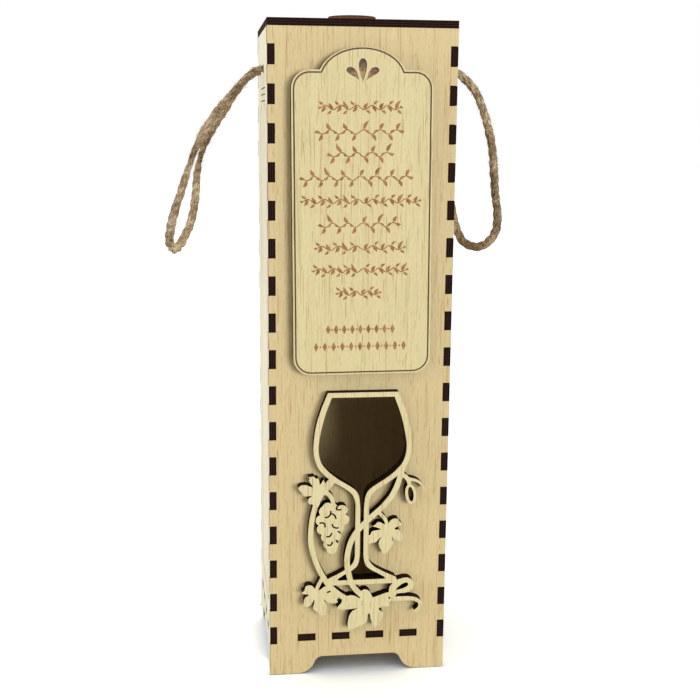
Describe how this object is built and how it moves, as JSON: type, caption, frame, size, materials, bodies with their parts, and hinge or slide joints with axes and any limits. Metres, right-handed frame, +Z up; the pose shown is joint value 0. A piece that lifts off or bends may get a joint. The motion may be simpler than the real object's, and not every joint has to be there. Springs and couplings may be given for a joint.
{
  "type": "wooden wine bottle box",
  "caption": "Tall upright box of finger-jointed plywood for a wine bottle, with a lift-off lid, a domed plaque, a fretwork wine glass and vine, and rope loop handles.",
  "frame": {"origin": "on the ground under the middle of the box, measured over the plates on its front and without the ropes", "axes": "+Z up, the front with the plaque and the fretwork faces -Y, +X to the right of someone facing the front"},
  "size_m": [0.1899, 0.106, 0.3675],
  "materials": {
    "ply": "sanded, unvarnished, with charred edges",
    "pale_ply": "sanded, unvarnished, with charred edges",
    "jute": "twisted natural fibre"
  },
  "bodies": {
    "case": {"front_panel": "ply", "back_panel": "ply", "left_side_panel": "ply", "right_side_panel": "ply", "floor_panel": "ply", "message_plaque": "pale_ply", "glass_vine_overlay": "pale_ply", "left_rope_handle": "jute", "right_rope_handle": "jute", "left_rope_knots": "jute", "right_rope_knots": "jute"},
    "lid": {"lid_panel": "ply", "lid_locating_plate": "ply", "lid_knob_base": "ply", "lid_knob_button": "ply"}
  },
  "joints": [
    {"name": "lid_lift", "type": "slide", "parent": "case", "child": "lid", "axis": [0, 0, 1], "range_m": [0, 0.12]}
  ]
}
